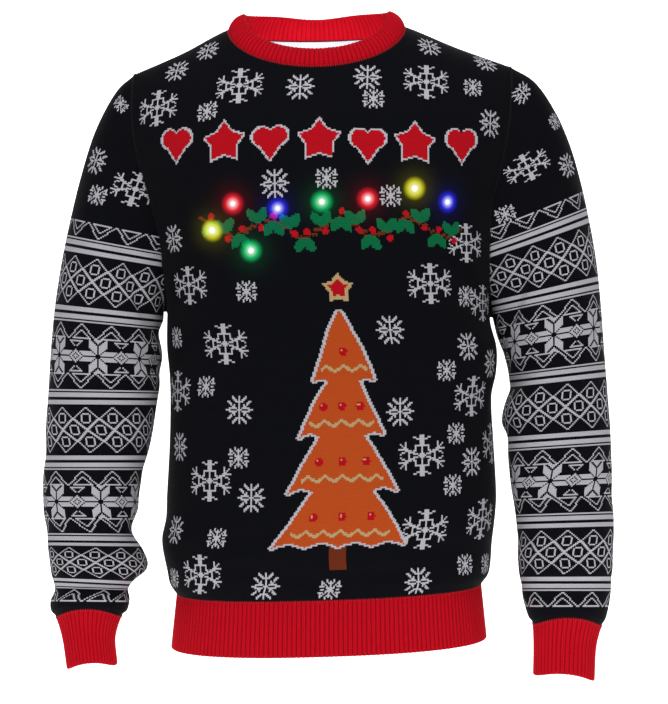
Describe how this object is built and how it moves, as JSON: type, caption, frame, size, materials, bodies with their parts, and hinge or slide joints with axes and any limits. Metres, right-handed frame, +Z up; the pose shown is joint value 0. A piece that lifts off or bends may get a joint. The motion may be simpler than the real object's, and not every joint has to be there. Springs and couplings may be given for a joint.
{
  "type": "christmas sweater",
  "caption": "Crew-neck knitted sweater in its worn, hollow form, with ribbed collar, hem and cuffs, snowflake and band patterns and small lamps on the chest.",
  "frame": {"origin": "between the shoulders, level with the points where the shoulder seams meet the neck, where the wearer's shoulders carry the garment", "axes": "+Z up from hem to neck, +X towards the wearer's left arm, -Y towards the front"},
  "size_m": [0.617, 0.2609, 0.721],
  "materials": {
    "dark_knit": "fine jersey knit of near-black yarn with pale snowflakes and bands",
    "red_rib": "red one-by-one rib knit",
    "white_tape": "woven white neck tape",
    "lamp_yellow": "lit lens",
    "lamp_red": "lit lens",
    "lamp_green": "lit lens",
    "lamp_blue": "lit lens"
  },
  "bodies": {
    "root": {"front_panel": "dark_knit", "back_panel": "dark_knit", "sleeve_right": "dark_knit", "sleeve_left": "dark_knit", "collar_rib": "red_rib", "hem_rib_front": "red_rib", "hem_rib_back": "red_rib", "cuff_right": "red_rib", "cuff_left": "red_rib", "neck_tape": "white_tape", "led_1": "lamp_yellow", "led_2": "lamp_red", "led_3": "lamp_green", "led_4": "lamp_blue", "led_5": "lamp_green", "led_6": "lamp_red", "led_7": "lamp_yellow", "led_8": "lamp_blue"}
  },
  "joints": []
}
